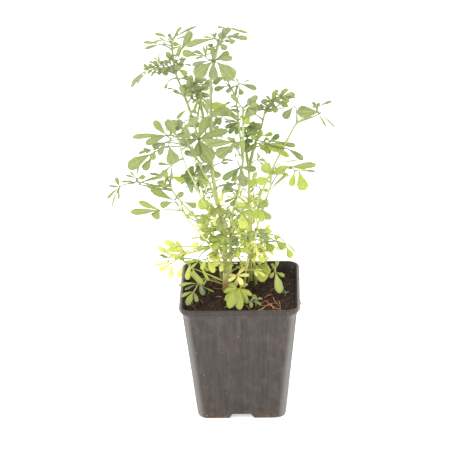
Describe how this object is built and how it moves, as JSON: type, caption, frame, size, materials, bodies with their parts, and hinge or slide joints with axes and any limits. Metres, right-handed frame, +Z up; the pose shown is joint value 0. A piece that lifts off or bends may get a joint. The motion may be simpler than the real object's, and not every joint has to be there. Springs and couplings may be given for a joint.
{
  "type": "potted rue plant",
  "caption": "Young rue plant with thin branching stems and small spoon-shaped leaflets, growing in soil in a tapered square nursery pot.",
  "frame": {"origin": "the middle of the whole object's footprint box, at the height of the pot's foot", "axes": "+Z up, -Y towards the viewer of the picture, +X to the right; the pot's sides face X and Y"},
  "size_m": [0.1668, 0.1134, 0.2994],
  "materials": {
    "pot": "satin",
    "soil": "matte",
    "crown": "matte",
    "stem_main": "matte",
    "stem_tall_left": "matte",
    "stem_inner_left": "matte",
    "stem_thin_left": "matte",
    "stem_low_left": "matte",
    "stem_front_left": "matte",
    "stem_fork": "matte",
    "stem_fork_side": "matte",
    "stem_back_top": "matte",
    "stem_far_right": "matte",
    "stem_front_right": "matte",
    "stem_behind": "matte",
    "leaf_yellow_left": "matte",
    "leaf_low_left": "matte",
    "leaf_front": "matte",
    "leaf_star": "matte",
    "leaf_round": "matte",
    "leaf_pale_right": "matte",
    "seedling": "matte",
    "stem_back_left": "matte",
    "stem_back_right": "matte"
  },
  "bodies": {
    "root": {"pot": "pot", "soil": "soil", "crown": "crown", "stem_main": "stem_main", "stem_tall_left": "stem_tall_left", "stem_inner_left": "stem_inner_left", "stem_thin_left": "stem_thin_left", "stem_low_left": "stem_low_left", "stem_front_left": "stem_front_left", "stem_fork": "stem_fork", "stem_fork_side": "stem_fork_side", "stem_back_top": "stem_back_top", "stem_far_right": "stem_far_right", "stem_front_right": "stem_front_right", "stem_behind": "stem_behind", "leaf_yellow_left": "leaf_yellow_left", "leaf_low_left": "leaf_low_left", "leaf_front": "leaf_front", "leaf_star": "leaf_star", "leaf_round": "leaf_round", "leaf_pale_right": "leaf_pale_right", "seedling": "seedling", "stem_back_left": "stem_back_left", "stem_back_right": "stem_back_right"}
  },
  "joints": []
}
